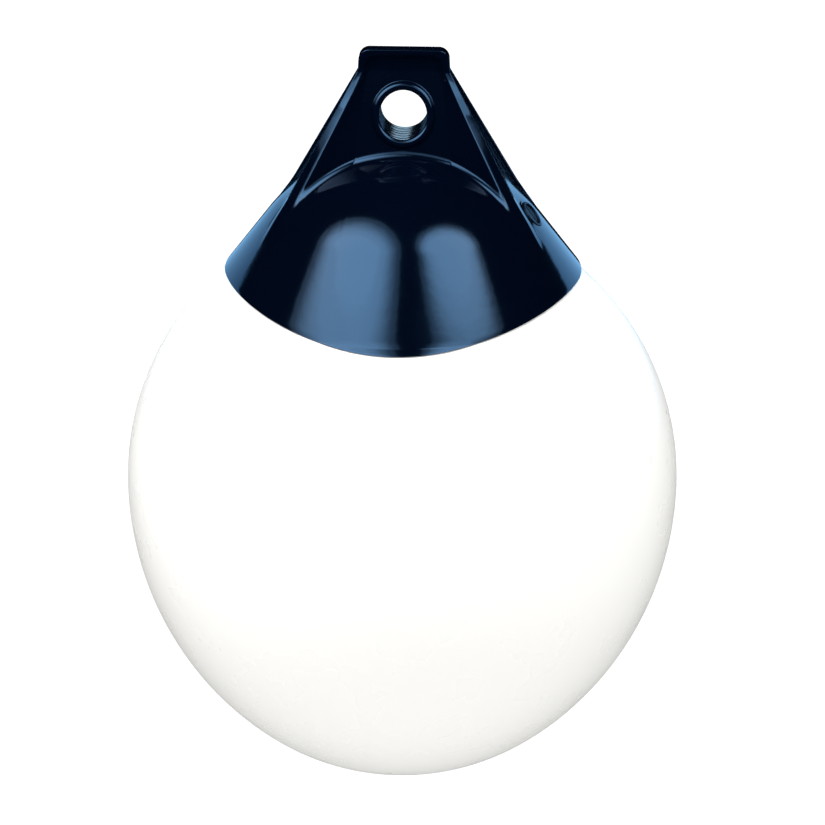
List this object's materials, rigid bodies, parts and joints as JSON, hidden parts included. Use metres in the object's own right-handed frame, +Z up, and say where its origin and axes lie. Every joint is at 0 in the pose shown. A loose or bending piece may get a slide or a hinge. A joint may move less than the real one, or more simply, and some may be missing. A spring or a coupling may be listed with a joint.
{
  "type": "mooring buoy",
  "caption": "Inflatable round vinyl mooring buoy with a solid moulded rope-eye cap and a screw-in air valve.",
  "frame": {"origin": "centre of the rope eye's bore", "axes": "+Z up from the ball to the rope eye, Y along the rope eye's bore, -Y the pictured front, +X the side of the air valve"},
  "size_m": [0.3679, 0.368, 0.4988],
  "materials": {
    "white_vinyl": "smooth white vinyl, soft gloss",
    "navy_vinyl": "polished moulded navy vinyl",
    "valve_plastic": "turned dark blue plastic",
    "seal_rubber": "black rubber, satin"
  },
  "bodies": {
    "buoy": {"ball_skin": "white_vinyl", "rope_eye_cap": "navy_vinyl", "valve_body": "valve_plastic"},
    "seal_ring": {"valve_seal": "seal_rubber"},
    "plug": {"valve_screw": "valve_plastic"}
  },
  "joints": [
    {"name": "valve_lift", "type": "slide", "parent": "buoy", "child": "seal_ring", "axis": [0.7806, -0.1292, 0.6115], "range_m": [0, 0.006]},
    {"name": "valve_turn", "type": "hinge", "parent": "seal_ring", "child": "plug", "pos_m": [0.08339, -0.01381, -0.06297], "axis": [0.7806, -0.1292, 0.6115], "range_deg": [0, 1080]}
  ],
  "couplings": [
    {"joint": "valve_turn", "follows": "valve_lift", "rad_per_m": 3141.6}
  ]
}
